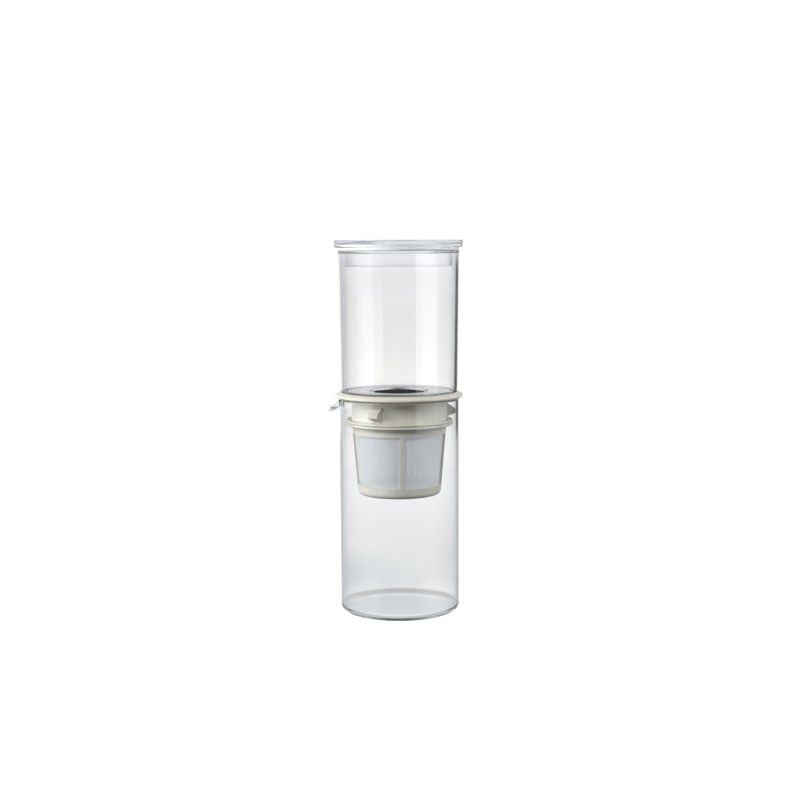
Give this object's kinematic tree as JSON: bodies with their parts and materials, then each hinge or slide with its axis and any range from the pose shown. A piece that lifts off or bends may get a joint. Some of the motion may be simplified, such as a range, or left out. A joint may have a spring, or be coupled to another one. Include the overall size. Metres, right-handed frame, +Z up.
{
  "type": "cold drip coffee tower",
  "caption": "Clear water tank with a drip nozzle on a holder that hangs a mesh coffee strainer inside a straight glass server with a pouring beak.",
  "frame": {"origin": "on the tower's axis, at the underside of the glass server", "axes": "+Z up along the tower's axis, -X towards the tip of the server's spout"},
  "size_m": [0.107, 0.1022, 0.297],
  "materials": {
    "server_glass": "clear, fire-polished heatproof glass",
    "clear_plastic": "clear moulded styrene resin, glossy",
    "holder_plastic": "pale warm grey moulded polypropylene, satin",
    "strainer_mesh": "fine woven polyester mesh",
    "silicone": "translucent silicone, matt",
    "dark_rubber": "near-black moulded rubber, matt",
    "polished_steel": "polished stainless steel",
    "filter_wire": "fine dark woven wire"
  },
  "bodies": {
    "server": {"server": "server_glass"},
    "holder": {"holder": "holder_plastic"},
    "strainer": {"strainer_frame": "holder_plastic", "side_mesh": "strainer_mesh", "bottom_mesh": "strainer_mesh", "strainer_seal": "silicone"},
    "shower_plate": {"shower_plate": "holder_plastic"},
    "tank": {"tank": "clear_plastic", "nozzle_grommet": "silicone"},
    "drip_unit": {"drip_plate": "polished_steel", "plate_gasket": "dark_rubber", "filter_ring": "polished_steel", "filter_mesh": "filter_wire", "drip_nozzle": "polished_steel"},
    "lid": {"lid": "clear_plastic", "lid_seal": "silicone"}
  },
  "joints": [
    {"name": "holder_lift", "type": "slide", "parent": "server", "child": "holder", "axis": [0, 0, 1], "range_m": [0, 0.13]},
    {"name": "tank_lift", "type": "slide", "parent": "holder", "child": "tank", "axis": [0, 0, 1], "range_m": [0, 0.04]},
    {"name": "lid_lift", "type": "slide", "parent": "tank", "child": "lid", "axis": [0, 0, 1], "range_m": [0, 0.03]},
    {"name": "strainer_pull", "type": "slide", "parent": "holder", "child": "strainer", "axis": [0, 0, -1], "range_m": [0, 0.02]},
    {"name": "shower_plate_lift", "type": "slide", "parent": "strainer", "child": "shower_plate", "axis": [0, 0, 1], "range_m": [0, 0.008]},
    {"name": "drip_plate_lift", "type": "slide", "parent": "tank", "child": "drip_unit", "axis": [0, 0, 1], "range_m": [0, 0.04]}
  ]
}
